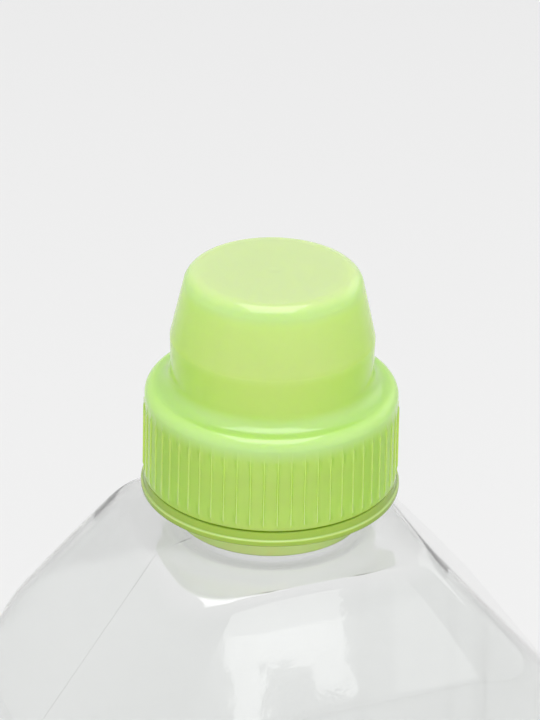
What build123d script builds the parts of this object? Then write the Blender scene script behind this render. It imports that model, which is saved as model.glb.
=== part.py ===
from build123d import *
from math import cos, hypot, radians, sqrt
import os

# Laundry detergent bottle: a clear blown bottle, a moulded pouring spout pressed onto
# its neck, and a ribbed screw cap whose dome is the dosing cup.
# Millimetres, +Z up, origin on the ground under the middle of the bottle.
# The wide side of the bottle runs along X and its front faces -Y.

# Bottle body
body_width = 116.0
body_depth = 73.0
corner_radius = 20.0
wall = 0.7
heel_radius = 7.0
push_up_height = 4.0
push_up_margin = 13.0
push_up_taper = 50.0
push_up_corner = 14.0
push_up_round = 2.5
panel_recess = 0.5
panel_bottom = 20.0
panel_top = 146.0
panel_margin = 4.0
panel_corner = 9.0

# Shoulder, from the round crease under the neck down to the body
flange_height = 200.0
crease_drop = 12.0
shoulder_top = 26.5
ring_radius = 25.8
side_slope = 0.85
front_slope = 0.39
side_blend = 12.0
front_blend = 11.5
ridge_radius = 9.5
ridge_softening = 1.5
shoulder_sections = 7

# Neck, with the bead that the spout is pressed over
neck_radius = 17.6
neck_wall = 2.2
neck_rise = 8.0
neck_root = 10.4
root_blend = 1.2
dome_swell = 0.66
bead_height = 0.45
bead_width = 2.4
bead_land = 0.8
bead_rise = 2.6

# Pouring spout
press_clearance = 0.15
sleeve_wall = 1.75
sleeve_drop = 9.1
flange_proud = 0.55
flange_thickness = 2.2
flange_bevel = 0.9
thread_wall = 1.4
thread_wall_rise = 14.0
deck_thickness = 1.4
deck_fall = 1.2
gutter_rise = 3.2
plug_wall = 1.2
plug_depth = 10.0
plug_lead = 0.4
spout_bore = 11.0
spout_wall = 1.3
spout_front_rise = 35.0
spout_back_rise = 25.0
drain_width = 6.5

# Cap, with its dosing cup
seat_clearance = 0.3
rim_clearance = 0.35
thread_room = 1.25
cap_wall = 1.4
cap_height = 44.65
cup_top_radius = 17.2
cup_top_round = 3.4
cup_kink_radius = 20.4
cup_kink_height = 30.65
cup_kink_round = 2.0
cup_foot_radius = 20.2
step_height = 20.0
step_round = 3.9
skirt_draft = 0.25
rim_depth = 18.0
rim_bevel = 0.45

# Grip ribs round the skirt, each the flank and crest of a six-sided bar
rib_count = 60
rib_sides = 6
rib_size = 0.45
rib_proud = 0.28
rib_bottom = 1.2
rib_top = 15.9

os.makedirs("parts", exist_ok=True)

half_width = body_width / 2
half_depth = body_depth / 2
crease_height = flange_height - crease_drop
neck_top = flange_height + neck_rise
neck_bore = neck_radius - neck_wall


def shoulder_depth(full, slope, blend):
    """Drop below the crease at which the shoulder has turned into the upright wall."""
    return (full - blend - shoulder_top + blend * hypot(1, slope)) / slope


def straight_depth(full, slope, blend):
    """Drop below the crease at which the straight slope ends and its arc begins."""
    return shoulder_depth(full, slope, blend) - blend * slope / hypot(1, slope)


def shoulder_half(full, slope, blend, drop):
    """Half size of the shoulder at a drop below the crease: a slope, then an arc to upright."""
    arc_end = shoulder_depth(full, slope, blend)
    if drop <= straight_depth(full, slope, blend):
        return shoulder_top + slope * drop
    if drop >= arc_end:
        return full
    return full - blend + sqrt(blend**2 - (arc_end - drop) ** 2)


side_drop = shoulder_depth(half_width, side_slope, side_blend)
slope_drop = min(
    straight_depth(half_width, side_slope, side_blend),
    straight_depth(half_depth, front_slope, front_blend),
)
bend_drops = [
    slope_drop + (side_drop - slope_drop) * i / shoulder_sections for i in range(shoulder_sections + 1)
]


def shoulder_corner(drop):
    """Corner radius of a shoulder section: crisp at the crease, softer towards the body."""
    return ridge_radius + (corner_radius - ridge_radius) * (drop / side_drop) ** ridge_softening


def shoulder_section(drop, inset):
    """Width, depth and corner radius of a section of the outer skin, or of the inner one."""
    across = shoulder_half(half_width, side_slope, side_blend, drop) - inset
    along = shoulder_half(half_depth, front_slope, front_blend, drop) - inset
    return 2 * across, 2 * along, shoulder_corner(drop) - inset


def neck_profile(side, inset):
    """Half section of the neck and the shallow dome under it, for the outer or inner skin."""
    low = crease_height - inset
    root = flange_height - neck_root - inset
    edge = ring_radius - inset
    foot = side + root_blend
    with BuildSketch(Plane.XZ) as half:
        with BuildLine():
            Polyline(
                (0, low),
                (edge, low),
                ((edge + foot) / 2, low + dome_swell * (root - low)),
                (foot, root),
                (side, root + root_blend),
                (side, neck_top),
                (0, neck_top),
                close=True,
            )
        make_face()
    return half.sketch


def body_skin(inset):
    """Solid inside the outer skin of the body, or inside the inner skin, a wall further in."""
    with BuildPart() as skin:
        with BuildSketch(Plane.XY.offset(inset)):
            RectangleRounded(body_width - 2 * inset, body_depth - 2 * inset, corner_radius - inset)
        extrude(amount=crease_height - side_drop - 2 * inset)
        heel = skin.faces().sort_by(Axis.Z)[0].edges()
        fillet(heel, heel_radius - inset)
        grown = inset / cos(radians(push_up_taper))
        with BuildSketch():
            RectangleRounded(
                body_width - 2 * (push_up_margin - grown),
                body_depth - 2 * (push_up_margin - grown),
                push_up_corner + grown,
            )
        extrude(amount=push_up_height + inset, taper=push_up_taper, mode=Mode.SUBTRACT)
        ceiling = skin.faces().filter_by(Plane.XY).group_by(Axis.Z)[1].edges()
        fillet(ceiling, push_up_round + inset)
        for facing in (-1, 1):
            panel_plane = Plane(
                origin=(0, facing * (half_depth - inset), (panel_bottom + panel_top) / 2),
                x_dir=(1, 0, 0),
                z_dir=(0, facing, 0),
            )
            with BuildSketch(panel_plane):
                RectangleRounded(
                    body_width - 2 * (corner_radius + panel_margin - inset),
                    panel_top - panel_bottom + 2 * inset,
                    panel_corner + inset,
                )
            extrude(amount=-panel_recess, mode=Mode.SUBTRACT)
        for drops, straight in ((bend_drops, False), ([0, slope_drop], True)):
            for drop in drops:
                width, depth, corner = shoulder_section(drop, inset)
                with BuildSketch(Plane.XY.offset(crease_height - drop - inset)):
                    RectangleRounded(width, depth, corner)
            loft(ruled=straight)
    return skin.part


def bead_profile(side, room):
    """Half section of the bead that stands out from a wall, or of the groove that takes it."""
    middle = flange_height + bead_rise
    with BuildSketch(Plane.XZ) as half:
        with BuildLine():
            Polyline(
                (side, middle - bead_width / 2 - room),
                (side + bead_height, middle - bead_land / 2 - room),
                (side + bead_height, middle + bead_land / 2 + room),
                (side, middle + bead_width / 2 + room),
                (neck_bore, middle + bead_width / 2 + room),
                (neck_bore, middle - bead_width / 2 - room),
                close=True,
            )
        make_face()
    return half.sketch


outer_skin = body_skin(0)
inner_skin = body_skin(wall)

# Bottle: one blown shell, with a bead round its neck that holds the spout
with BuildPart() as bottle:
    add(outer_skin)
    add(neck_profile(neck_radius, 0))
    revolve(axis=Axis.Z)
    add(bead_profile(neck_radius, 0))
    revolve(axis=Axis.Z)
    add(inner_skin, mode=Mode.SUBTRACT)
    add(neck_profile(neck_bore, wall))
    revolve(axis=Axis.Z, mode=Mode.SUBTRACT)

bottle.part.label = "bottle"
export_step(bottle.part, "parts/bottle.step")

# Radii of the pieces round the neck, each from the one inside it
sleeve_bore = neck_radius + press_clearance
sleeve_radius = sleeve_bore + sleeve_wall
rim_bore = sleeve_radius + rim_clearance
rim_radius = rim_bore + cap_wall
thread_wall_bore = rim_radius + rim_clearance
thread_wall_radius = thread_wall_bore + thread_wall
skirt_bore = thread_wall_radius + thread_room
skirt_radius = skirt_bore + cap_wall
flange_radius = skirt_radius + flange_proud
plug_radius = neck_bore - press_clearance
spout_radius = spout_bore + spout_wall

# Pouring spout: the sleeve snaps over the neck, the flange stops the cap's skirt,
# the threaded wall carries the cap, and drips run back down the slot in the tube
deck_top = neck_top + deck_thickness
gutter_top = deck_top + gutter_rise
spout_front = flange_height + spout_front_rise
spout_back = flange_height + spout_back_rise
flange_bottom = flange_height - flange_thickness
plug_bottom = neck_top - plug_depth

with BuildPart() as pour_spout:
    with BuildSketch(Plane.XY.offset(deck_top)):
        Circle(spout_radius)
        Circle(spout_bore, mode=Mode.SUBTRACT)
    extrude(amount=spout_front - deck_top)
    with BuildSketch(Plane.YZ):
        with BuildLine():
            Polyline(
                (-spout_radius, spout_front),
                (spout_radius, spout_back),
                (spout_radius, spout_front),
                close=True,
            )
        make_face()
    extrude(amount=spout_radius, both=True, mode=Mode.SUBTRACT)
    with BuildSketch(Plane.XY.offset(deck_top)):
        with Locations((0, spout_radius)):
            SlotOverall(2 * spout_radius, drain_width, rotation=90)
    extrude(amount=spout_front - deck_top, mode=Mode.SUBTRACT)
    with BuildSketch(Plane.XZ):
        with BuildLine():
            Polyline(
                (sleeve_bore, flange_height - sleeve_drop),
                (sleeve_radius, flange_height - sleeve_drop),
                (sleeve_radius, flange_bottom),
                (flange_radius, flange_bottom),
                (flange_radius, flange_height),
                (thread_wall_radius, flange_height),
                (thread_wall_radius, flange_height + thread_wall_rise),
                (thread_wall_bore, flange_height + thread_wall_rise),
                (thread_wall_bore, flange_height),
                (sleeve_radius, flange_height),
                (sleeve_radius, gutter_top),
                (sleeve_bore, gutter_top),
                (sleeve_bore, deck_top + deck_fall),
                (spout_bore, deck_top),
                (spout_bore, neck_top),
                (plug_radius - plug_wall, neck_top),
                (plug_radius - plug_wall, plug_bottom),
                (plug_radius - plug_lead, plug_bottom),
                (plug_radius, plug_bottom + plug_wall),
                (plug_radius, neck_top),
                (sleeve_bore, neck_top),
                close=True,
            )
        make_face()
        chamfer(vertices().sort_by_distance((flange_radius, flange_bottom))[0], flange_bevel)
    revolve(axis=Axis.Z)
    add(bead_profile(sleeve_bore, press_clearance))
    revolve(axis=Axis.Z, mode=Mode.SUBTRACT)

pour_spout.part.label = "pour_spout"
export_step(pour_spout.part, "parts/pour_spout.step")

# Cap: one moulding. Its section runs up the skirt, over the step and up the dome, and
# the inside follows it a wall further in, with the rim of the cup reaching down.
# Outside corners are rounded, and the ones inside are bevelled
skirt_bottom = flange_height + seat_clearance
skirt_top_radius = skirt_radius - skirt_draft
cap_top = flange_height + cap_height
step_top = flange_height + step_height
step_under = step_top - cap_wall
kink = flange_height + cup_kink_height
rim_bottom = step_top - rim_depth
rim_head = gutter_top + rim_clearance
section_rounds = (
    ((cup_top_radius, cap_top), cup_top_round),
    ((cup_kink_radius, kink), cup_kink_round),
    ((skirt_top_radius, step_top), step_round),
)
inner_bevels = (
    ((cup_top_radius - cap_wall, cap_top - cap_wall), cup_top_round - cap_wall),
    ((skirt_top_radius - cap_wall, step_under), step_round - cap_wall),
    ((rim_radius, rim_bottom), rim_bevel),
    ((rim_bore, rim_bottom), rim_bevel),
)

with BuildPart() as cap:
    with BuildSketch(Plane.XZ):
        with BuildLine():
            Polyline(
                (0, cap_top),
                (cup_top_radius, cap_top),
                (cup_kink_radius, kink),
                (cup_foot_radius, step_top),
                (skirt_top_radius, step_top),
                (skirt_radius, skirt_bottom),
                (skirt_bore, skirt_bottom),
                (skirt_top_radius - cap_wall, step_under),
                (rim_radius, step_under),
                (rim_radius, rim_bottom),
                (rim_bore, rim_bottom),
                (rim_bore, rim_head),
                (cup_foot_radius - cap_wall, step_top),
                (cup_kink_radius - cap_wall, kink),
                (cup_top_radius - cap_wall, cap_top - cap_wall),
                (0, cap_top - cap_wall),
                close=True,
            )
        make_face()
        for corner, radius in section_rounds:
            fillet(vertices().sort_by_distance(corner)[0], radius)
        for corner, length in inner_bevels:
            chamfer(vertices().sort_by_distance(corner)[0], length)
    revolve(axis=Axis.Z)
    with BuildSketch(Plane.XY.offset(flange_height + rib_bottom)):
        with PolarLocations(skirt_top_radius + rib_proud - rib_size, rib_count):
            RegularPolygon(rib_size, rib_sides, major_radius=False, rotation=180 / rib_sides)
    extrude(amount=rib_top - rib_bottom)

cap.part.label = "cap"
export_step(cap.part, "parts/cap.step")
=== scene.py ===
# %% [markdown]
# # A laundry detergent bottle in a light tent
# The object is a clear blown bottle with a lime green pouring spout pressed onto its neck
# and a lime green screw cap whose dome is the measuring cup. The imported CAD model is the
# fixed frame. It gives every size and place, and this file gives the looks: fine smooth
# meshes over the CAD nodes, the plastics, the light and the camera.

# %% Load the frame
import math
import bmesh
import bpy
from mathutils import Matrix, Vector


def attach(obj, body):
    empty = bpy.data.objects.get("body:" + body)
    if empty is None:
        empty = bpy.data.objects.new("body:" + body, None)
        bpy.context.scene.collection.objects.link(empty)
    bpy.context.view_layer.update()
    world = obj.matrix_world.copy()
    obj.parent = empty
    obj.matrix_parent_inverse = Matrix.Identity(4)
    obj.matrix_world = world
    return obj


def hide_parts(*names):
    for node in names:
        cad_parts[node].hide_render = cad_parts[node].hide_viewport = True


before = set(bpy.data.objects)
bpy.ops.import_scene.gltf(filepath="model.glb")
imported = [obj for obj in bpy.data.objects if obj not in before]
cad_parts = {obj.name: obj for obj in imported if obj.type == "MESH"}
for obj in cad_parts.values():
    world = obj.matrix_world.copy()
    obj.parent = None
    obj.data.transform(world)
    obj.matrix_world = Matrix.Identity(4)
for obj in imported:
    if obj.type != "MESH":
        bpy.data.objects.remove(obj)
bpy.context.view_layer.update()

MM = 0.001

# %% [markdown]
# ## Small tools for meshes
# Two kinds of grid make nearly everything here. A lathe turns a half section round the
# neck's axis, which is how the mould of a cap is cut. A skin is a stack of closed loops,
# which suits a bottle whose sections change from round to rectangular. Both take
# millimetres and hand back a mesh in metres, with its place in the mesh.

# %% Mesh helpers
SMOOTH_ANGLE = math.radians(38)
MERGE_DISTANCE = 1e-7


def make_piece(name, points, faces):
    """A mesh object from points in millimetres, shaded smooth but for its sharp edges."""
    mesh = bpy.data.meshes.new(name)
    mesh.from_pydata([(x * MM, y * MM, z * MM) for x, y, z in points], [], faces)
    work = bmesh.new()
    work.from_mesh(mesh)
    bmesh.ops.remove_doubles(work, verts=work.verts, dist=MERGE_DISTANCE)
    bmesh.ops.recalc_face_normals(work, faces=work.faces)
    work.to_mesh(mesh)
    work.free()
    piece = bpy.data.objects.new(name, mesh)
    bpy.context.scene.collection.objects.link(piece)
    shade(mesh)
    return piece


def shade(mesh):
    """Smooth shading, with the edges over an angle kept sharp."""
    mesh.polygons.foreach_set("use_smooth", [True] * len(mesh.polygons))
    mesh.set_sharp_from_angle(angle=SMOOTH_ANGLE)


def settle(piece):
    """Turns a piece with live modifiers into the plain mesh that they make."""
    graph = bpy.context.evaluated_depsgraph_get()
    mesh = bpy.data.meshes.new_from_object(piece.evaluated_get(graph))
    piece.modifiers.clear()
    piece.data = mesh
    shade(mesh)
    print(piece.name, "has", len(mesh.polygons), "faces")
    return piece


# %% [markdown]
# A section is given as corner points, each with the radius that the mould has there. The
# corners are turned into arcs, so every edge catches a thin line of light as a real
# moulded edge does. A knife-sharp edge would show none.

# %% Rounded sections
def rounded(corners, closed, step=9):
    """A polyline of (radius, height) from corners (radius, height, round), arcs included.

    An arc has a point about every so many degrees as the step says.
    """
    line = []
    count = len(corners)
    for i, (r, z, turn) in enumerate(corners):
        here = Vector((r, z))
        open_end = not closed and i in (0, count - 1)
        if turn <= 0 or open_end:
            line.append((r, z))
            continue
        back = (Vector(corners[i - 1][:2]) - here).normalized()
        ahead = (Vector(corners[(i + 1) % count][:2]) - here).normalized()
        half = math.acos(max(-1, min(1, back.dot(ahead)))) / 2
        middle = here + (back + ahead).normalized() * (turn / math.sin(half))
        start = here + back * (turn / math.tan(half)) - middle
        finish = here + ahead * (turn / math.tan(half)) - middle
        sweep = start.angle_signed(finish)
        parts = max(2, round(abs(math.degrees(sweep)) / step))
        for k in range(parts + 1):
            spoke = start.copy()
            spoke.rotate(Matrix.Rotation(-sweep * k / parts, 2))
            line.append(tuple(middle + spoke))
    return line


def turned(section, angles):
    """Points and faces of a section turned round the axis. A closed section gives a closed ring."""
    count = len(angles)
    points, rings = [], []
    for r, z in section:
        if r < 1e-6:
            rings.append([len(points)])
            points.append((0, 0, z))
            continue
        rings.append(list(range(len(points), len(points) + count)))
        points += [(r * math.cos(a), r * math.sin(a), z) for a in angles]
    faces = []
    ends_on_axis = len(rings[0]) == 1 and len(rings[-1]) == 1
    for i in range(len(rings) - (1 if ends_on_axis else 0)):
        one, two = rings[i], rings[(i + 1) % len(rings)]
        for k in range(count):
            m = (k + 1) % count
            if len(one) == 1:
                faces.append((one[0], two[m], two[k]))
            elif len(two) == 1:
                faces.append((one[k], one[m], two[0]))
            else:
                faces.append((one[k], one[m], two[m], two[k]))
    return points, faces


def even_turn(count):
    """Angles of columns spread evenly round the axis."""
    return [2 * math.pi * k / count for k in range(count)]


# %% [markdown]
# ## The sizes
# These are the same sizes as in the CAD model, in millimetres, so that each fine mesh
# lies on or close to the solid that it stands for. The radii round the neck follow from one another,
# each piece a clearance outside the one within it.

# %% Sizes shared by the pieces
FLANGE = 200.0
PLUG_BORE, PLUG_R = 14.05, 15.25
NECK_R, NECK_TOP = 17.6, 208.0
SLEEVE_BORE, SLEEVE_R = 17.75, 19.5
RIM_BORE, RIM_R = 19.85, 21.25
TUBE_BORE, TUBE_R = 11.0, 12.3
WALL_BORE, WALL_R = 21.6, 23.0
SKIRT_BORE, SKIRT_R = 24.25, 25.65
FLANGE_R = 26.2
DECK_TOP = 209.4
CAP_TOP = 244.65
print("walls end at radii of", SLEEVE_R, RIM_R, WALL_R, SKIRT_R, "mm")

# %% [markdown]
# ## The bottle
# A blown bottle is one skin, about 0.7 mm thick, blown out against a cold mould, with a
# thicker injection-moulded neck. Its body is a rectangle with big corner radii and flat
# shoulder slopes. They could be cut as blocks and rounded afterwards, but the corner
# radius changes all the way down a shoulder ridge, so a stack of rounded rectangles
# follows the form better. The wall then comes from a Solidify modifier.

# %% Bottle loops
HALF_W, HALF_D, CORNER = 58.0, 36.5, 20.0
CREASE_Z, TOP_HALF, RIDGE = 188.0, 26.5, 9.5
SIDE_SLOPE, FRONT_SLOPE, SIDE_BLEND, FRONT_BLEND = 0.85, 0.39, 12.0, 11.5
FRONT_COLUMNS, SIDE_COLUMNS, CORNER_COLUMNS = 44, 14, 18
BEND_STEPS, SHOULDER_STEPS = 8, 56


def turn_in(full, slope, blend):
    """Drop at which a shoulder slope has turned into the upright wall."""
    return (full - blend - TOP_HALF + blend * math.hypot(1, slope)) / slope


def half_at(full, slope, blend, drop):
    """Half size of the shoulder at a drop below the crease."""
    end = turn_in(full, slope, blend)
    if drop <= end - blend * slope / math.hypot(1, slope):
        return TOP_HALF + slope * drop
    return full if drop >= end else full - blend + math.sqrt(blend**2 - (end - drop) ** 2)


SIDE_DROP = turn_in(HALF_W, SIDE_SLOPE, SIDE_BLEND)


def rectangle(across, along, corner, z):
    """A rounded rectangle as a loop, with the same number of points whatever its size."""
    loop = []
    flats = (across - corner, along - corner)
    spots = ((1, -1), (1, 1), (-1, 1), (-1, -1))
    for i, (sx, sy) in enumerate(spots):
        cx, cy = sx * flats[0], sy * flats[1]
        for k in range(CORNER_COLUMNS):
            a = math.radians(-90 + 90 * i + 90 * k / CORNER_COLUMNS)
            loop.append((cx + corner * math.cos(a), cy + corner * math.sin(a), z))
        columns = SIDE_COLUMNS if i % 2 == 0 else FRONT_COLUMNS
        a = math.radians(90 * i)
        nx, ny = spots[(i + 1) % 4]
        start = (cx + corner * math.cos(a), cy + corner * math.sin(a))
        end = (nx * flats[0] + corner * math.cos(a), ny * flats[1] + corner * math.sin(a))
        for k in range(columns):
            t = k / columns
            x = start[0] + (end[0] - start[0]) * t
            y = start[1] + (end[1] - start[1]) * t
            loop.append((x, y, z))
    return loop


crease_loop = rectangle(TOP_HALF, TOP_HALF, RIDGE, CREASE_Z)


def circle(radius, z):
    """A round loop whose points lie on the same spokes as the crease loop's."""
    loop = []
    for x, y, _ in crease_loop:
        reach = math.hypot(x, y)
        loop.append((x / reach * radius, y / reach * radius, z))
    return loop


print("shoulder turns upright", round(SIDE_DROP, 1), "mm below the crease")

# %% Bottle neck and dome
BEAD_Z, BEAD_HALF, BEAD_OUT, BEAD_STEPS = 202.6, 1.2, 0.45, 8
ROOT_BLEND, ROOT_STEPS = 1.2, 5
DOME_R, DOME_Z, DOME_FALL, RING_R = 18.8, 189.6, 1.6, 25.8
DOME_CIRCLES = (19.4, 20.2, 21.0, 21.8, 22.4)


def neck_loops():
    """Neck with its bead, the blend at its foot and the inner part of the shallow dome."""
    loops = [circle(NECK_R, NECK_TOP)]
    for k in range(BEAD_STEPS + 1):
        z = BEAD_Z + BEAD_HALF - 2 * BEAD_HALF * k / BEAD_STEPS
        swell = math.sqrt(max(0, 1 - ((z - BEAD_Z) / BEAD_HALF) ** 2))
        loops.append(circle(NECK_R + BEAD_OUT * swell, z))
    for k in range(ROOT_STEPS + 1):
        a = math.radians(90 * k / ROOT_STEPS)
        radius = NECK_R + ROOT_BLEND * (1 - math.cos(a))
        loops.append(circle(radius, DOME_Z + ROOT_BLEND * (1 - math.sin(a))))
    loops += [circle(radius, dome_height(radius)) for radius in DOME_CIRCLES]
    return loops


def dome_height(radius):
    """Height of the shallow dome between the neck's foot and the crease."""
    t = (radius - DOME_R) / (RING_R - DOME_R)
    return DOME_Z - DOME_FALL * (0.4 * t + 0.6 * t * t)


# %% [markdown]
# The dome meets the shoulder slopes in a crease. A blown wall can't follow a sharp corner
# of the mould, so the crease is a soft bend. A few control loops are laid over it, and
# cutting their corners again and again leaves a smooth curve, wider at the shoulder's
# ridges than in the middle of a side.

# %% Bottle crease and shoulder
BEND_START_R, BEND_INSET, BEND_CUTS, NARROW_BEND = 22.9, 2.6, 3, 0.55


def slope_loop(drop):
    """A shoulder section, with a crisp ridge at the top that softens towards the body."""
    across = half_at(HALF_W, SIDE_SLOPE, SIDE_BLEND, drop)
    along = half_at(HALF_D, FRONT_SLOPE, FRONT_BLEND, drop)
    corner = RIDGE + (CORNER - RIDGE) * (drop / SIDE_DROP) ** 1.5
    return rectangle(across, along, corner, CREASE_Z - drop)


def between(one, two, share):
    """A loop part of the way from one loop to another. The share may differ by column."""
    shares = share if isinstance(share, list) else [share] * len(one)
    return [tuple(Vector(a).lerp(Vector(b), t)) for a, b, t in zip(one, two, shares)]


def crease_loops():
    """The soft bend over the crease: corners of a control line are cut off, then cut again."""
    ring, reaches = [], []
    for x, y, _ in crease_loop:
        reach = math.hypot(x, y)
        radius = min(RING_R, reach - BEND_INSET)
        ring.append((x / reach * radius, y / reach * radius, dome_height(radius)))
        reaches.append(reach)
    near, far = min(reaches), max(reaches)
    wide = [NARROW_BEND + (1 - NARROW_BEND) * (reach - near) / (far - near) for reach in reaches]
    start = circle(BEND_START_R, dome_height(BEND_START_R))
    finish = between(crease_loop, slope_loop(SIDE_DROP * BEND_STEPS / SHOULDER_STEPS), wide)
    line = [start, ring, between(ring, crease_loop, 0.5), crease_loop, finish]
    for _ in range(BEND_CUTS):
        cut = [line[0]]
        for one, two in zip(line, line[1:]):
            cut += [between(one, two, 0.25), between(one, two, 0.75)]
        line = cut + [line[-1]]
    return line


# %% Bottle walls with the label panel, and the base
PANEL_LOW, PANEL_HIGH, PANEL_HALF, PANEL_CORNER = 20.0, 146.0, 34.0, 9.0
PANEL_RECESS, SOFT_EDGE = 0.5, 1.8
HEEL, HEEL_STEPS = 7.0, 8
PUSH_UP, PUSH_UP_INSET = 4.0, 20.0
STANDING_RING = (
    (10.0, 0),
    (12.4, 0.1),
    (13.2, 0.5),
    (15.9, 2.8),
    (17.0, 3.5),
    (18.4, 3.95),
    (PUSH_UP_INSET, PUSH_UP),
)


def recessed(loop):
    """Presses the label panel's shallow recess into the flats of a body loop."""
    pressed = []
    middle = (PANEL_LOW + PANEL_HIGH) / 2
    for x, y, z in loop:
        over_x = abs(x) - (PANEL_HALF - PANEL_CORNER)
        over_z = abs(z - middle) - ((PANEL_HIGH - PANEL_LOW) / 2 - PANEL_CORNER)
        outside = math.hypot(max(over_x, 0), max(over_z, 0)) + min(max(over_x, over_z), 0) - PANEL_CORNER
        depth = PANEL_RECESS * min(max(-outside / SOFT_EDGE, 0), 1)
        flat = abs(abs(y) - HALF_D) < 0.01
        pressed.append((x, y - math.copysign(depth, y) if flat else y, z))
    return pressed


def shoulder_loops():
    """Flat slopes that turn upright, below the bend."""
    steps = range(BEND_STEPS + 1, SHOULDER_STEPS + 1)
    return [recessed(slope_loop(SIDE_DROP * k / SHOULDER_STEPS)) for k in steps]


def body_loops():
    """The upright walls, with more loops where the label panel begins and ends."""
    heights = [146.2]
    heights += [145.8 - 0.9 * k for k in range(11)]
    heights += [130.0 - 16 * k for k in range(7)]
    heights += [29.2 - 0.9 * k for k in range(11)]
    heights += [17.0, 12.0, HEEL]
    return [recessed(rectangle(HALF_W, HALF_D, CORNER, z)) for z in heights]


def base_loops():
    """Heel, flat standing ring and the push-up that keeps the base from rocking."""
    loops = []
    for k in range(1, HEEL_STEPS + 1):
        a = math.radians(90 * k / HEEL_STEPS)
        inset = HEEL * (1 - math.cos(a))
        z = HEEL - HEEL * math.sin(a)
        loops.append(rectangle(HALF_W - inset, HALF_D - inset, CORNER - inset, z))
    for inset, z in STANDING_RING:
        loops.append(rectangle(HALF_W - inset, HALF_D - inset, CORNER + HEEL - inset, z))
    for share in (0.75, 0.5, 0.25, 0.08):
        across = (HALF_W - PUSH_UP_INSET) * share
        along = (HALF_D - PUSH_UP_INSET) * share
        loops.append(rectangle(across, along, HEEL * share, PUSH_UP))
    return loops


# %% Bottle skin, from the neck's rim down to the base
loops = neck_loops() + crease_loops() + shoulder_loops() + body_loops() + base_loops()
columns = len(crease_loop)
skin_points = [p for loop in loops for p in loop]
skin_faces = []
for row in range(len(loops) - 1):
    for k in range(columns):
        m = (k + 1) % columns
        a, b = row * columns, (row + 1) * columns
        skin_faces.append((a + k, b + k, b + m, a + m))
skin_faces.append(tuple((len(loops) - 1) * columns + k for k in range(columns)))
bottle = make_piece("blown_bottle", skin_points, skin_faces)
print("bottle skin", len(loops), "loops of", columns)

# %% Bottle wall: thick in the neck, thin in the blown body
NECK_WALL, BODY_WALL, CREASE_WALL = 2.2, 0.7, 0.25
NECK_FROM, NECK_FADE = 189.2, 2.0
THINNEST_Z, THIN_FADE = 187.4, 5.0
thick = bottle.vertex_groups.new(name="wall")
for vertex in bottle.data.vertices:
    z = vertex.co.z / MM
    to_neck = min(max((z - NECK_FROM) / NECK_FADE, 0), 1)
    to_crease = max(0, 1 - abs(z - THINNEST_Z) / THIN_FADE)
    body = BODY_WALL + (CREASE_WALL - BODY_WALL) * to_crease
    thick.add([vertex.index], (body + (NECK_WALL - body) * to_neck) / NECK_WALL, "REPLACE")
wall = bottle.modifiers.new("wall", "SOLIDIFY")
wall.thickness = NECK_WALL * MM
wall.offset = -1
wall.use_even_offset = True
wall.vertex_group = "wall"
settle(bottle)

# %% [markdown]
# ## The pouring spout
# The spout is a separate moulding that is pressed over the neck until its groove sits on
# the bead. Its flange is the dark green ring under the cap. Inside is the part that the
# cap hides: a gutter, and a slanted tube with a slot at its back that lets drips run home.
# Everything but the thread and the tube is round, so it is turned from one section.

# %% Spout section
SPOUT_COLUMNS = 180
SLEEVE_FOOT, WALL_TOP, SLEEVE_TOP, PLUG_FOOT = 190.9, 214.0, 212.6, 198.0
GROOVE_R, GROOVE_HALF = 18.2, 1.4
fitment_section = rounded(
    [
        (SLEEVE_BORE, SLEEVE_FOOT, 0.25),
        (SLEEVE_R, SLEEVE_FOOT, 0.5),
        (SLEEVE_R, 197.3, 0.4),
        (FLANGE_R, 197.1, 0.4),
        (FLANGE_R, 198.3, 0.35),
        (25.75, 198.5, 0.25),
        (25.45, FLANGE, 0.5),
        (WALL_R, FLANGE, 0.3),
        (WALL_R, WALL_TOP, 0.4),
        (WALL_BORE, WALL_TOP, 0.4),
        (WALL_BORE, FLANGE, 0.3),
        (SLEEVE_R, FLANGE, 0.3),
        (SLEEVE_R, SLEEVE_TOP, 0.4),
        (SLEEVE_BORE, SLEEVE_TOP, 0.4),
        (SLEEVE_BORE, 210.6, 0.3),
        (TUBE_BORE, DECK_TOP, 0.2),
        (TUBE_BORE, NECK_TOP, 0.2),
        (PLUG_BORE, NECK_TOP, 0.2),
        (PLUG_BORE, PLUG_FOOT, 0.3),
        (14.85, PLUG_FOOT, 0.2),
        (PLUG_R, 199.2, 0.2),
        (PLUG_R, NECK_TOP, 0.1),
        (SLEEVE_BORE, NECK_TOP, 0.1),
        (SLEEVE_BORE, BEAD_Z + GROOVE_HALF, 0.1),
        (GROOVE_R, BEAD_Z, 0.3),
        (SLEEVE_BORE, BEAD_Z - GROOVE_HALF, 0.1),
    ],
    closed=True,
)
spout_wall = turned(fitment_section, even_turn(SPOUT_COLUMNS))
print("spout section has", len(fitment_section), "points")

# %% [markdown]
# ## The screw threads
# A thread is a ridge wound round a wall, outside on the spout and inside in the cap's
# skirt. Its root is sunk a little into the wall, and its ends run out to nothing. Both
# ridges have one pitch, and the cap's starts half a pitch higher, so they lie side by side.

# %% Screw threads
THREAD_PITCH, THREAD_STEPS, RUN_OUT_STEPS = 4.0, 96, 12
THREAD_OUT, THREAD_SINK = 0.5, 0.15
THREAD_FORM = ((0, -0.95), (0.75, -0.5), (1, -0.25), (1, 0.25), (0.75, 0.5), (0, 0.95))
LEAST_SWELL = 0.04


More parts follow.
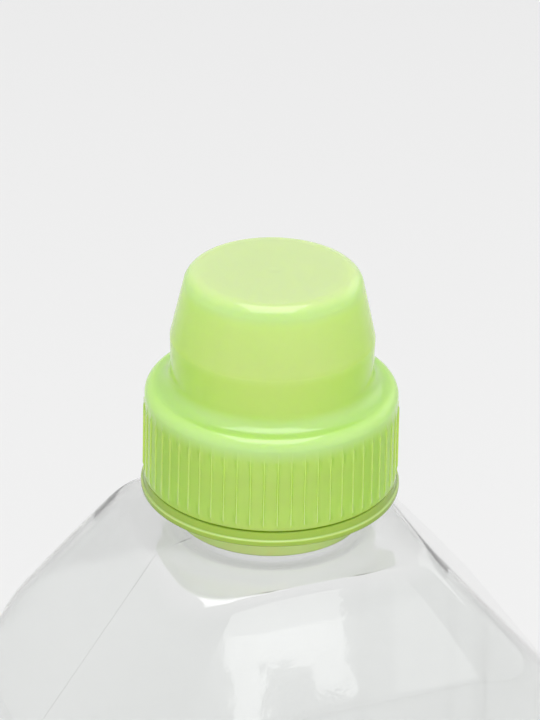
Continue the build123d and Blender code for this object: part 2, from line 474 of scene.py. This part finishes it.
def wound_ridge(wall_radius, side, low, high):
    """Points and faces of a thread on a wall. The side is 1 for outside and -1 for inside."""
    root, crest = wall_radius - side * THREAD_SINK, wall_radius + side * THREAD_OUT
    steps = round((high - low) / THREAD_PITCH * THREAD_STEPS)
    ridge_points, ridge_faces = [], []
    for k in range(steps + 1):
        a = 2 * math.pi * k / THREAD_STEPS
        swell = max(LEAST_SWELL, min(1, k / RUN_OUT_STEPS, (steps - k) / RUN_OUT_STEPS))
        for share, off in THREAD_FORM:
            r = root + (crest - root) * share * swell
            z = low + (high - low) * k / steps + off
            ridge_points.append((r * math.cos(a), r * math.sin(a), z))
    form = len(THREAD_FORM)
    for k in range(steps):
        for i in range(form):
            j = (i + 1) % form
            here, ahead = k * form, (k + 1) * form
            ridge_faces.append((here + i, here + j, ahead + j, ahead + i))
    ridge_faces.append(tuple(range(form)))
    ridge_faces.append(tuple(steps * form + i for i in range(form)))
    return ridge_points, ridge_faces


def joined(one, two):
    """Two lots of points and faces as one."""
    shift = len(one[0])
    return one[0] + two[0], one[1] + [tuple(i + shift for i in face) for face in two[1]]


SPOUT_THREAD = (201.8, 212.4)
CAP_THREAD = (203.8, 214.2)
points, faces = joined(spout_wall, wound_ridge(WALL_R, 1, *SPOUT_THREAD))
print("spout thread winds", round((SPOUT_THREAD[1] - SPOUT_THREAD[0]) / THREAD_PITCH, 2), "turns")

# %% [markdown]
# ## The pouring tube
# The tube starts in the deck and ends in a slanted lip that is high in front. Its wall is
# left open at the back for the drain slot, so it is a bent plate with two faces, a lip,
# a foot and two upright edges beside the slot.

# %% Pouring tube
LIP_FRONT, LIP_BACK, SLOT = 235.0, 225.0, 6.5
TUBE_FOOT = DECK_TOP - 0.2
TUBE_STEPS, TUBE_ROWS = 72, 10


def lip_height(y):
    """Height of the slanted lip, which is high in front where it pours."""
    return LIP_FRONT + (LIP_BACK - LIP_FRONT) * (y + TUBE_R) / (2 * TUBE_R)


def tube_wall(radius, k):
    """Angle of a column of the tube, from one side of the drain slot round to the other."""
    gap = math.asin(SLOT / 2 / radius)
    return math.pi / 2 + gap + (2 * math.pi - 2 * gap) * k / TUBE_STEPS


tube_start = len(points)
for radius in (TUBE_R, TUBE_BORE):
    for k in range(TUBE_STEPS + 1):
        a = tube_wall(radius, k)
        x, y = radius * math.cos(a), radius * math.sin(a)
        for row in range(TUBE_ROWS + 1):
            points.append((x, y, TUBE_FOOT + (lip_height(y) - TUBE_FOOT) * row / TUBE_ROWS))


def tube_point(side, k, row):
    """Number of a point of the tube. Side 0 is outside and side 1 is in the bore."""
    return tube_start + (side * (TUBE_STEPS + 1) + k) * (TUBE_ROWS + 1) + row


def tube_face(*corners):
    """Adds a face of the tube between points given as (side, column, row)."""
    faces.append(tuple(tube_point(*corner) for corner in corners))


for k in range(TUBE_STEPS):
    for row in range(TUBE_ROWS):
        for side in (0, 1):
            tube_face((side, k, row), (side, k + 1, row), (side, k + 1, row + 1), (side, k, row + 1))
    for row in (0, TUBE_ROWS):
        tube_face((0, k, row), (0, k + 1, row), (1, k + 1, row), (1, k, row))
for k in (0, TUBE_STEPS):
    for row in range(TUBE_ROWS):
        tube_face((0, k, row), (0, k, row + 1), (1, k, row + 1), (1, k, row))
fitment = make_piece("spout_fitment", points, faces)
print("fitment", len(fitment.data.polygons), "faces")

# %% [markdown]
# ## The measuring cap
# The cap is one moulding too. Its dome is the cup, its rim hangs down inside, and a soft
# step leads out to the skirt. The skirt's sixty fine ribs are part of the moulding, so
# they aren't laid on as rods. The lathe gives a smooth cap with columns close together,
# and a Geometry Nodes tree lifts the skirt's outer points into ribs. Light then passes
# through rib and wall as through one piece of plastic.

# %% Cap section
CAP_FOOT = 200.3
RIB_LOW, RIB_HIGH, RIB_RUN_OUT = 201.2, 215.9, 0.7
cap_section = rounded(
    [
        (0, CAP_TOP, 0),
        (17.2, CAP_TOP, 3.4),
        (20.4, 230.65, 2.0),
        (20.2, 220.25, 3.3),
        (25.4, 219.85, 2.3),
        (25.452, RIB_HIGH, 0),
        (25.461, RIB_HIGH - RIB_RUN_OUT, 0),
        (25.630, RIB_LOW + RIB_RUN_OUT, 0),
        (25.638, RIB_LOW, 0),
        (SKIRT_R, CAP_FOOT, 0.35),
        (SKIRT_BORE, CAP_FOOT, 0.3),
        (24.0, 218.6, 2.5),
        (RIM_R, 218.6, 0.4),
        (RIM_R, 202.0, 0.45),
        (RIM_BORE, 202.0, 0.45),
        (RIM_BORE, 212.95, 1.5),
        (18.8, 220.0, 1.0),
        (19.0, 230.65, 1.0),
        (15.8, 243.25, 2.0),
        (0, 243.25, 0),
    ],
    closed=False,
    step=8,
)


def closer(section, longest):
    """Adds points on the long straight runs of a section."""
    line = [section[0]]
    for (r0, z0), (r1, z1) in zip(section, section[1:]):
        parts = max(1, math.ceil(math.hypot(r1 - r0, z1 - z0) / longest))
        for k in range(1, parts + 1):
            line.append((r0 + (r1 - r0) * k / parts, z0 + (z1 - z0) * k / parts))
    return line


RIBS, RIB_HALF, RIB_HEIGHT, RIB_INSIDE = 60, 0.085, 0.2, 25.2
LONGEST_RUN = 3.0
rib_columns = [share * RIB_HALF for share in (-1.0, -0.8, -0.45, 0.0, 0.45, 0.8, 1.0)]
rib_columns += [0.36, 0.64]
rib_angles = [2 * math.pi * (rib + column) / RIBS for rib in range(RIBS) for column in rib_columns]
cap_wall = turned(closer(cap_section, LONGEST_RUN), rib_angles)
cap_thread = wound_ridge(SKIRT_BORE, -1, *CAP_THREAD)
cap = make_piece("measuring_cap", *joined(cap_wall, cap_thread))
print("cap", len(cap.data.polygons), "faces")

# %% Ribs lifted out of the skirt by Geometry Nodes
def tree_input(tree, name, kind, value):
    """A named input of a Geometry Nodes tree, with its usual value."""
    socket = tree.interface.new_socket(name, in_out="INPUT", socket_type=kind)
    if value is not None:
        socket.default_value = value


def math_node(tree, operation, *values):
    """A Math node whose inputs are numbers or other nodes' sockets. Returns its output."""
    node = tree.nodes.new("ShaderNodeMath")
    node.operation = operation
    for i, value in enumerate(values):
        if isinstance(value, (int, float)):
            node.inputs[i].default_value = value
        else:
            tree.links.new(value, node.inputs[i])
    return node.outputs[0]


def clamped(tree, value):
    """A value kept between 0 and 1."""
    return math_node(tree, "MINIMUM", math_node(tree, "MAXIMUM", value, 0.0), 1.0)


def from_axis(tree, x, y):
    """Distance from the upright axis."""
    square = math_node(tree, "ADD", math_node(tree, "MULTIPLY", x, x), math_node(tree, "MULTIPLY", y, y))
    return math_node(tree, "SQRT", square)


def rib_tree():
    """Lifts points of a skirt outwards where a rib passes, between two heights."""
    tree = bpy.data.node_groups.new("skirt_ribs", "GeometryNodeTree")
    tree.is_modifier = True
    tree_input(tree, "Geometry", "NodeSocketGeometry", None)
    tree.interface.new_socket("Geometry", in_out="OUTPUT", socket_type="NodeSocketGeometry")
    tree_input(tree, "Ribs", "NodeSocketInt", RIBS)
    tree_input(tree, "Rib height", "NodeSocketFloat", RIB_HEIGHT * MM)
    tree_input(tree, "Rib share", "NodeSocketFloat", RIB_HALF)
    tree_input(tree, "Low", "NodeSocketFloat", RIB_LOW * MM)
    tree_input(tree, "High", "NodeSocketFloat", RIB_HIGH * MM)
    tree_input(tree, "Skirt radius", "NodeSocketFloat", RIB_INSIDE * MM)
    tree_input(tree, "Plastic", "NodeSocketMaterial", None)
    given = tree.nodes.new("NodeGroupInput")
    made = tree.nodes.new("NodeGroupOutput")
    place = tree.nodes.new("GeometryNodeInputPosition")
    parts = tree.nodes.new("ShaderNodeSeparateXYZ")
    tree.links.new(place.outputs[0], parts.inputs[0])
    x, y, z = parts.outputs
    around = math_node(tree, "DIVIDE", math_node(tree, "ARCTAN2", y, x), 2 * math.pi)
    turns = math_node(tree, "MULTIPLY", math_node(tree, "ADD", around, 1.0), given.outputs["Ribs"])
    phase = math_node(tree, "FRACT", math_node(tree, "ADD", turns, 0.5))
    off = math_node(tree, "ABSOLUTE", math_node(tree, "SUBTRACT", phase, 0.5))
    share = math_node(tree, "DIVIDE", off, given.outputs["Rib share"])
    hill = math_node(tree, "SUBTRACT", 1.0, math_node(tree, "MULTIPLY", share, share))
    hill = math_node(tree, "MAXIMUM", hill, 0.0)
    reach = from_axis(tree, x, y)
    outside = math_node(tree, "GREATER_THAN", reach, given.outputs["Skirt radius"])
    above = math_node(tree, "SUBTRACT", z, given.outputs["Low"])
    below = math_node(tree, "SUBTRACT", given.outputs["High"], z)
    end = math_node(tree, "MULTIPLY", math_node(tree, "MINIMUM", above, below), 1 / (RIB_RUN_OUT * MM))
    end = clamped(tree, end)
    lift = math_node(tree, "MULTIPLY", math_node(tree, "MULTIPLY", hill, end), outside)
    lift = math_node(tree, "MULTIPLY", lift, given.outputs["Rib height"])
    ratio = math_node(tree, "DIVIDE", lift, reach)
    shift = tree.nodes.new("ShaderNodeCombineXYZ")
    tree.links.new(math_node(tree, "MULTIPLY", x, ratio), shift.inputs[0])
    tree.links.new(math_node(tree, "MULTIPLY", y, ratio), shift.inputs[1])
    move = tree.nodes.new("GeometryNodeSetPosition")
    real = tree.nodes.new("GeometryNodeRealizeInstances")
    coat = tree.nodes.new("GeometryNodeSetMaterial")
    tree.links.new(given.outputs["Geometry"], move.inputs["Geometry"])
    tree.links.new(shift.outputs[0], move.inputs["Offset"])
    tree.links.new(move.outputs[0], real.inputs[0])
    tree.links.new(real.outputs[0], coat.inputs["Geometry"])
    tree.links.new(given.outputs["Plastic"], coat.inputs["Material"])
    tree.links.new(coat.outputs[0], made.inputs["Geometry"])
    return tree


# %% [markdown]
# ## The plastics
# The cap and the spout are the same lime green polypropylene. It is milky, so light soaks
# in, scatters and comes out a few millimetres further on. Subsurface scattering does
# that. A plain green paint would look dead beside it. Light and shade are also painted into
# the green: bands lit and shaded by height, painted shade where a wall turns away, painted
# highlights on the ribs and at the flange's edges, and a collar painted lit. The bottle is
# clear PET with a breath of haze and a faint orange peel from the mould, and it shows
# mostly by what it bends and reflects. Near the neck its colour is painted brighter as well.

# %% Material helpers
def new_material(name):
    """A material with a bare Principled BSDF wired to its output."""
    material = bpy.data.materials.new(name)
    material.use_nodes = True
    shader = material.node_tree.nodes["Principled BSDF"]
    return material, material.node_tree, shader


def moulded_surface():
    """Shader group: the slow waviness and fine grain that a mould leaves on plastic."""
    group = bpy.data.node_groups.new("moulded_surface", "ShaderNodeTree")
    for name, value in (("Wave scale", 60.0), ("Grain scale", 900.0), ("Wave", 0.3), ("Grain", 0.1)):
        socket = group.interface.new_socket(name, in_out="INPUT", socket_type="NodeSocketFloat")
        socket.default_value = value
    group.interface.new_socket("Height", in_out="OUTPUT", socket_type="NodeSocketFloat")
    group.interface.new_socket("Cloud", in_out="OUTPUT", socket_type="NodeSocketFloat")
    given = group.nodes.new("NodeGroupInput")
    made = group.nodes.new("NodeGroupOutput")
    place = group.nodes.new("ShaderNodeTexCoord")
    heights = []
    for scale, amount in (("Wave scale", "Wave"), ("Grain scale", "Grain")):
        noise = group.nodes.new("ShaderNodeTexNoise")
        noise.inputs["Detail"].default_value = 0.0
        group.links.new(place.outputs["Object"], noise.inputs["Vector"])
        group.links.new(given.outputs[scale], noise.inputs["Scale"])
        heights.append(math_node(group, "MULTIPLY", noise.outputs[0], given.outputs[amount]))
    group.links.new(math_node(group, "ADD", *heights), made.inputs["Height"])
    cloud = group.nodes.new("ShaderNodeTexNoise")
    cloud.inputs["Scale"].default_value = 25.0
    cloud.inputs["Detail"].default_value = 1.0
    group.links.new(place.outputs["Object"], cloud.inputs["Vector"])
    group.links.new(cloud.outputs[0], made.inputs["Cloud"])
    return group


surface_group = moulded_surface()


def add_group(tree, group, **values):
    """Places a shader group in a material and sets its inputs."""
    node = tree.nodes.new("ShaderNodeGroup")
    node.node_tree = group
    for name, value in values.items():
        node.inputs[name.replace("_", " ")].default_value = value
    return node


def add_bump(tree, shader, height):
    """Wires a height in millimetres to the shader's normal."""
    bump = tree.nodes.new("ShaderNodeBump")
    bump.inputs["Strength"].default_value = 1.0
    bump.inputs["Distance"].default_value = 1.0 * MM
    tree.links.new(height, bump.inputs["Height"])
    tree.links.new(bump.outputs[0], shader.inputs["Normal"])
    return bump


def blend_colours(tree, factor, one, two):
    """A mix of two colours by a factor. Returns the colour output."""
    mix = tree.nodes.new("ShaderNodeMix")
    mix.data_type = "RGBA"
    mix.inputs["A"].default_value = (*one, 1)
    mix.inputs["B"].default_value = (*two, 1)
    tree.links.new(factor, mix.inputs["Factor"])
    return mix.outputs["Result"]


def colour_by_height(tree, z, low, high, stops):
    """Colours up the piece. A stop is a height in millimetres, a colour and how much painted side shade
    it takes.

    The first two stops are the ramp's ends, so they stand first in the list.
    """
    share = math_node(tree, "DIVIDE", math_node(tree, "SUBTRACT", z, low * MM), (high - low) * MM)
    ramp = tree.nodes.new("ShaderNodeValToRGB")
    ramp.color_ramp.interpolation = "EASE"
    for i, (height, colour, side_shade_weight) in enumerate(stops):
        spot = (height - low) / (high - low)
        stop = ramp.color_ramp.elements[i] if i < 2 else ramp.color_ramp.elements.new(spot)
        stop.position = spot
        stop.color = (*colour, side_shade_weight)
    tree.links.new(share, ramp.inputs["Fac"])
    return ramp.outputs["Color"], ramp.outputs["Alpha"]


def object_place(tree):
    """The x, y and z of the object's own coordinates."""
    place = tree.nodes.new("ShaderNodeTexCoord")
    parts = tree.nodes.new("ShaderNodeSeparateXYZ")
    tree.links.new(place.outputs["Object"], parts.inputs[0])
    return tuple(parts.outputs)


def multiplied(tree, one, two):
    """Two colours multiplied. Returns the colour output."""
    mix = tree.nodes.new("ShaderNodeMix")
    mix.data_type = "RGBA"
    mix.blend_type = "MULTIPLY"
    mix.inputs["Factor"].default_value = 1.0
    tree.links.new(one, mix.inputs["A"])
    tree.links.new(two, mix.inputs["B"])
    return mix.outputs["Result"]


# %% Lime green polypropylene of the cap
WHITE = (1, 1, 1)
# Painted light and shade: the green comes in lit and shaded copies. It is palest on the top, deeper down
# the cup and deepest on the skirt. The side tint is painted shade where a wall turns away, and the rib
# tint is a painted sheen on the ribs.
PAINTED_TOP_LIGHT = (0.60, 0.98, 0.31)
LIT = (0.57, 0.93, 0.21)
PAINTED_HALF_SHADE = (0.54, 0.90, 0.15)
PAINTED_DEEP_SHADE = (0.48, 0.78, 0.12)
SIDE_SHADE_TINT, SIDE_SHADE_FROM, SIDE_SHADE_GAIN = (0.70, 0.81, 0.14), 0.11, 2.4
RIB_SHEEN_TINT, RIB_SHEEN_FROM, RIB_SHEEN_FADE = (1.25, 1.1, 2.6), 25.7, 0.15
GATE_R, GATE_DEPTH = 1.4, 0.05
CAP_LIGHT_AND_SHADE_BANDS = (
    (200.0, PAINTED_DEEP_SHADE, 1.0),
    (244.6, PAINTED_TOP_LIGHT, 0.0),
    (214.5, PAINTED_DEEP_SHADE, 1.0),
    (218.5, (0.49, 0.77, 0.26), 0.3),
    (221.0, (0.53, 0.84, 0.24), 0.4),
    (223.0, PAINTED_HALF_SHADE, 0.6),
    (229.0, PAINTED_HALF_SHADE, 0.7),
    (232.0, LIT, 0.5),
    (240.5, LIT, 0.4),
    (243.0, (0.52, 0.84, 0.26), 0.2),
)


def cap_plastic():
    """Milky green with painted light and shade: bands lit and shaded by height, painted shade where a
    wall turns away, a painted sheen on the ribs, and a gate mark on top.
    """
    material, tree, shader = new_material("lime_pp_cap")
    skin = add_group(tree, surface_group, Wave=0.02, Grain=0.004, Wave_scale=90.0, Grain_scale=2500.0)
    x, y, z = object_place(tree)
    reach = from_axis(tree, x, y)
    # Painted light and shade, in bands by height.
    painted_light_band, side_shade_weight = colour_by_height(tree, z, 200, 245, CAP_LIGHT_AND_SHADE_BANDS)
    # Painted shade where the wall turns away.
    facing = tree.nodes.new("ShaderNodeLayerWeight")
    facing.inputs["Blend"].default_value = 0.5
    away = math_node(tree, "SUBTRACT", facing.outputs["Facing"], SIDE_SHADE_FROM)
    away = clamped(tree, math_node(tree, "MULTIPLY", away, SIDE_SHADE_GAIN))
    turned_away_shade = blend_colours(tree, math_node(tree, "MULTIPLY", away, side_shade_weight), WHITE, SIDE_SHADE_TINT)
    # Painted sheen on the ribs.
    on_rib = math_node(tree, "SUBTRACT", reach, RIB_SHEEN_FROM * MM)
    on_rib = clamped(tree, math_node(tree, "DIVIDE", on_rib, RIB_SHEEN_FADE * MM))
    rib_sheen = blend_colours(tree, on_rib, WHITE, RIB_SHEEN_TINT)
    tree.links.new(multiplied(tree, multiplied(tree, painted_light_band, turned_away_shade), rib_sheen), shader.inputs["Base Color"])
    shader.inputs["Subsurface Weight"].default_value = 1.0
    shader.inputs["Subsurface Radius"].default_value = (0.9, 1.0, 0.4)
    shader.inputs["Subsurface Scale"].default_value = 0.005
    shader.inputs["Roughness"].default_value = 0.055
    shader.inputs["Specular IOR Level"].default_value = 0.7
    shader.inputs["IOR"].default_value = 1.49
    gate = math_node(tree, "SUBTRACT", 1.0, math_node(tree, "DIVIDE", reach, GATE_R * MM))
    gate = math_node(tree, "MULTIPLY", math_node(tree, "MAXIMUM", gate, 0.0), -GATE_DEPTH)
    add_bump(tree, shader, math_node(tree, "ADD", gate, skin.outputs["Height"]))
    return material


lime_cap = cap_plastic()
print("made", lime_cap.name)

# %% Clearer green of the spout
# Painted light: the collar's pale green stands for light that reaches it, the edge green draws painted
# highlight lines at the flange's edges, and the edge-on tint is painted shade.
LIT_COLLAR_GREEN = (0.80, 1.00, 0.38)
FLANGE_GREEN = (0.42, 0.60, 0.08)
EDGE_HIGHLIGHT_GREEN = (0.66, 0.84, 0.32)
TUBE_GREEN = (0.50, 0.78, 0.14)
EDGE_ON_SHADE_TINT, EDGE_ON_POWER = (0.40, 0.46, 0.16), 1.5
SPOUT_BANDS_WITH_PAINTED_LIGHT = (
    (190.0, LIT_COLLAR_GREEN, 1.0),
    (204.0, TUBE_GREEN, 1.0),
    (196.8, LIT_COLLAR_GREEN, 1.0),
    (197.1, EDGE_HIGHLIGHT_GREEN, 1.0),
    (197.4, FLANGE_GREEN, 1.0),
    (198.15, FLANGE_GREEN, 1.0),
    (198.38, EDGE_HIGHLIGHT_GREEN, 1.0),
    (198.6, FLANGE_GREEN, 1.0),
    (200.5, FLANGE_GREEN, 1.0),
)


def spout_plastic():
    """Clearer, darker green with painted light and shade: a collar painted lit, painted highlight lines
    at the flange's edges, and painted shade where the wall is seen edge on.
    """
    material, tree, shader = new_material("lime_pp_spout")
    skin = add_group(tree, surface_group, Wave=0.02, Grain=0.004)
    _, _, z = object_place(tree)
    # Painted light: the bands hold the lit collar and the highlight lines at the flange's edges.
    painted_light_band, _ = colour_by_height(tree, z, 190, 204, SPOUT_BANDS_WITH_PAINTED_LIGHT)
    facing = tree.nodes.new("ShaderNodeLayerWeight")
    facing.inputs["Blend"].default_value = 0.5
    # Painted shade where the wall is seen edge on.
    edge_on = math_node(tree, "POWER", facing.outputs["Facing"], EDGE_ON_POWER)
    turned_away_shade = blend_colours(tree, edge_on, WHITE, EDGE_ON_SHADE_TINT)
    tree.links.new(multiplied(tree, painted_light_band, turned_away_shade), shader.inputs["Base Color"])
    shader.inputs["Transmission Weight"].default_value = 0.12
    shader.inputs["Subsurface Weight"].default_value = 1.0
    shader.inputs["Subsurface Radius"].default_value = (1.0, 0.7, 0.5)
    shader.inputs["Subsurface Scale"].default_value = 0.0009
    shader.inputs["Roughness"].default_value = 0.16
    shader.inputs["IOR"].default_value = 1.49
    add_bump(tree, shader, skin.outputs["Height"])
    return material


lime_spout = spout_plastic()
print("made", lime_spout.name)

# %% Clear PET of the bottle
CLOUD_DARK, CLOUD_PALE = (0.915, 0.928, 0.918), (0.940, 0.948, 0.942)
# Painted light: near the neck the colour goes above white. This is a painted brightening of the dome and
# neck, as well as a clearer neck.
NECK_CLEAR_AND_LIT, NECK_CLEAR_FROM, NECK_CLEAR_FADE = (1.08, 1.065, 1.075), 184, 4
NECK_GLOSS_LOSS = 0.9
SEAM_TURN, SEAM_HALF, SEAM_HEIGHT = math.radians(11.5), 0.4, 0.02


def bottle_plastic():
    """Clear, faintly hazy PET under a crisp gloss, with the mould's parting line. Near the neck it is
    clearer, and its colour is also painted brighter than white as painted light.
    """
    material, tree, shader = new_material("clear_pet")
    skin = add_group(tree, surface_group, Wave=0.005, Grain=0.0009, Wave_scale=260.0, Grain_scale=1300.0)
    x, y, z = object_place(tree)
    colour = blend_colours(tree, skin.outputs["Cloud"], CLOUD_DARK, CLOUD_PALE)
    to_neck = math_node(tree, "SUBTRACT", z, NECK_CLEAR_FROM * MM)
    to_neck = clamped(tree, math_node(tree, "DIVIDE", to_neck, NECK_CLEAR_FADE * MM))
    # Painted light near the neck, over a clearer neck.
    clearer_and_lit = blend_colours(tree, to_neck, WHITE, NECK_CLEAR_AND_LIT)
    tree.links.new(multiplied(tree, colour, clearer_and_lit), shader.inputs["Base Color"])
    shader.inputs["Transmission Weight"].default_value = 0.97
    shader.inputs["Roughness"].default_value = 0.09
    shader.inputs["IOR"].default_value = 1.5
    gloss = math_node(tree, "SUBTRACT", 1.0, math_node(tree, "MULTIPLY", to_neck, NECK_GLOSS_LOSS))
    tree.links.new(gloss, shader.inputs["Coat Weight"])
    shader.inputs["Coat Roughness"].default_value = 0.01
    shader.inputs["Coat IOR"].default_value = 1.7
    across = math_node(tree, "MULTIPLY", x, math.sin(SEAM_TURN))
    along = math_node(tree, "MULTIPLY", y, math.cos(SEAM_TURN))
    off = math_node(tree, "ABSOLUTE", math_node(tree, "SUBTRACT", across, along))
    seam = math_node(tree, "SUBTRACT", 1.0, math_node(tree, "DIVIDE", off, SEAM_HALF * MM))
    seam = math_node(tree, "MULTIPLY", math_node(tree, "MAXIMUM", seam, 0.0), SEAM_HEIGHT)
    bump = add_bump(tree, shader, math_node(tree, "ADD", seam, skin.outputs["Height"]))
    tree.links.new(bump.outputs[0], shader.inputs["Coat Normal"])
    return material


clear_pet = bottle_plastic()
print("made", clear_pet.name)

# %% Dress the pieces
ribs = cap.modifiers.new("ribs", "NODES")
ribs.node_group = rib_tree()
for item in ribs.node_group.interface.items_tree:
    if item.in_out == "INPUT" and item.name == "Plastic":
        ribs[item.identifier] = lime_cap
    if item.in_out == "INPUT" and item.name == "Ribs":
        ribs[item.identifier] = RIBS
settle(cap)
cap.data.materials.clear()
cap.data.materials.append(lime_cap)
fitment.data.materials.append(lime_spout)
bottle.data.materials.append(clear_pet)

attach(cap, "cap")
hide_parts("cap")
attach(fitment, "bottle")
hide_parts("pour_spout")
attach(bottle, "bottle")
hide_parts("bottle")

# %% [markdown]
# ## The table, the light and the camera
# The photograph was made on a pale sweep in very soft light, so a plain pale floor and a
# bright even world do most of the work. Two fills brighten the plastic without showing in
# its gloss. The other lamps light nothing up. They show as soft lines on the cap, and as a
# window with two legs in the gloss of the bottle's front slope.

# %% Floor
FLOOR_HALF = 6.0
floor_corners = [(sx * FLOOR_HALF, sy * FLOOR_HALF, 0) for sx, sy in ((-1, -1), (1, -1), (1, 1), (-1, 1))]
floor_mesh = bpy.data.meshes.new("studio_floor")
floor_mesh.from_pydata(floor_corners, [], [(0, 1, 2, 3)])
floor = bpy.data.objects.new("studio_floor", floor_mesh)
bpy.context.scene.collection.objects.link(floor)
paper, _, paper_shader = new_material("pale_paper")
paper_shader.inputs["Base Color"].default_value = (0.83, 0.83, 0.83, 1)
paper_shader.inputs["Roughness"].default_value = 0.9
paper_shader.inputs["Specular IOR Level"].default_value = 0.1
floor_mesh.materials.append(paper)
print("floor is", 2 * FLOOR_HALF, "m wide")

# %% World
world = bpy.data.worlds.new("soft_tent")
bpy.context.scene.world = world
world.use_nodes = True
sky = world.node_tree.nodes["Background"]
sky.inputs["Color"].default_value = (1, 1, 1, 1)
sky.inputs["Strength"].default_value = 0.9
print("made", world.name)

# %% Lights
TURN = math.radians(21.5)
SLOPE = (-0.007, -0.030, 0.178)
WINDOW_ROLL = -11


def softbox(name, azimuth, elevation, distance, size, brightness, target=(0, 0, 0.2), roll=0):
    """A rectangular soft light round a target, rolled by some degrees about its own beam.

    Azimuth 0 is on the camera's side and grows to its right. The size and distance are in
    metres, and the brightness is what the lamp's face shows.
    """
    a = math.radians(azimuth) - TURN
    e = math.radians(elevation)
    spoke = Vector((math.cos(e) * math.sin(a), -math.cos(e) * math.cos(a), math.sin(e)))
    lamp = bpy.data.lights.new(name, "AREA")
    lamp.shape = "RECTANGLE"
    lamp.size, lamp.size_y = size
    lamp.energy = brightness * math.pi * size[0] * size[1]
    holder = bpy.data.objects.new(name, lamp)
    bpy.context.scene.collection.objects.link(holder)
    holder.location = Vector(target) + spoke * distance
    facing = (-spoke).to_track_quat("-Z", "Y").to_matrix()
    holder.rotation_euler = (facing @ Matrix.Rotation(math.radians(roll), 3, "Z")).to_euler()
    return holder


fills = (
    softbox("front_fill", 0, 75, 1.3, (1.3, 0.5), 2.4),
    softbox("low_fill", 5, 13, 1.5, (1.0, 0.36), 2.0),
)
for lamp in fills:
    lamp.visible_glossy = False
    lamp.visible_transmission = False
gloss_lamps = (
    softbox("overhead", 0, 86, 1.2, (0.84, 1.1), 2.6),
    softbox("front_window", 40.1, 8.43, 2.4, (0.122, 0.132), 1.0, SLOPE, WINDOW_ROLL),
    softbox("window_left_leg", 38.8, 6.18, 2.4, (0.030, 0.070), 1.1, SLOPE, WINDOW_ROLL),
    softbox("window_right_leg", 40.9, 6.3, 2.4, (0.040, 0.030), 1.0, SLOPE, WINDOW_ROLL),
    softbox("window_glow", 44.6, 7.4, 2.4, (0.16, 0.30), 0.3, SLOPE, WINDOW_ROLL),
)
for lamp in gloss_lamps:
    lamp.visible_diffuse = False
right_rear = softbox("right_rear", 132, 23, 1.5, (1.0, 0.7), 0.6)
right_rear.visible_diffuse = False
right_rear.visible_transmission = False
print("lamps", [lamp.name for lamp in (*fills, *gloss_lamps, right_rear)])

# %% [markdown]
# The camera stands 0.59 m from its target, looks down by 27 degrees and sees the bottle turned by
# 21.5 degrees. These values were found by fitting outlines of the model to the picture.

# %% Camera at the photograph's viewpoint
TILT, ROLL, REACH_BACK = math.radians(27.356), math.radians(1.102), 587.55
FOCAL_LENGTH, SENSOR_WIDTH = 147.72, 36.0
right = Vector((math.cos(TURN), -math.sin(TURN), 0))
up = Vector((math.sin(TILT) * math.sin(TURN), math.sin(TILT) * math.cos(TURN), math.cos(TILT)))
back = right.cross(up)
target = Vector((-0.41, 0.16, 224.80))
eye = (target + back * REACH_BACK) * MM
view_x = right * math.cos(ROLL) + up * math.sin(ROLL)
view_y = up * math.cos(ROLL) - right * math.sin(ROLL)
camera_data = bpy.data.cameras.new("photo_view")
camera_data.lens = FOCAL_LENGTH
camera_data.sensor_width = SENSOR_WIDTH
camera_data.clip_start = 0.01
camera = bpy.data.objects.new("photo_view", camera_data)
bpy.context.scene.collection.objects.link(camera)
camera.matrix_world = Matrix((
    (view_x.x, view_y.x, back.x, eye.x),
    (view_x.y, view_y.y, back.y, eye.y),
    (view_x.z, view_y.z, back.z, eye.z),
    (0, 0, 0, 1),
))
bpy.context.scene.camera = camera
bpy.context.scene.view_settings.view_transform = "Standard"
print("camera at", tuple(round(c, 3) for c in eye))
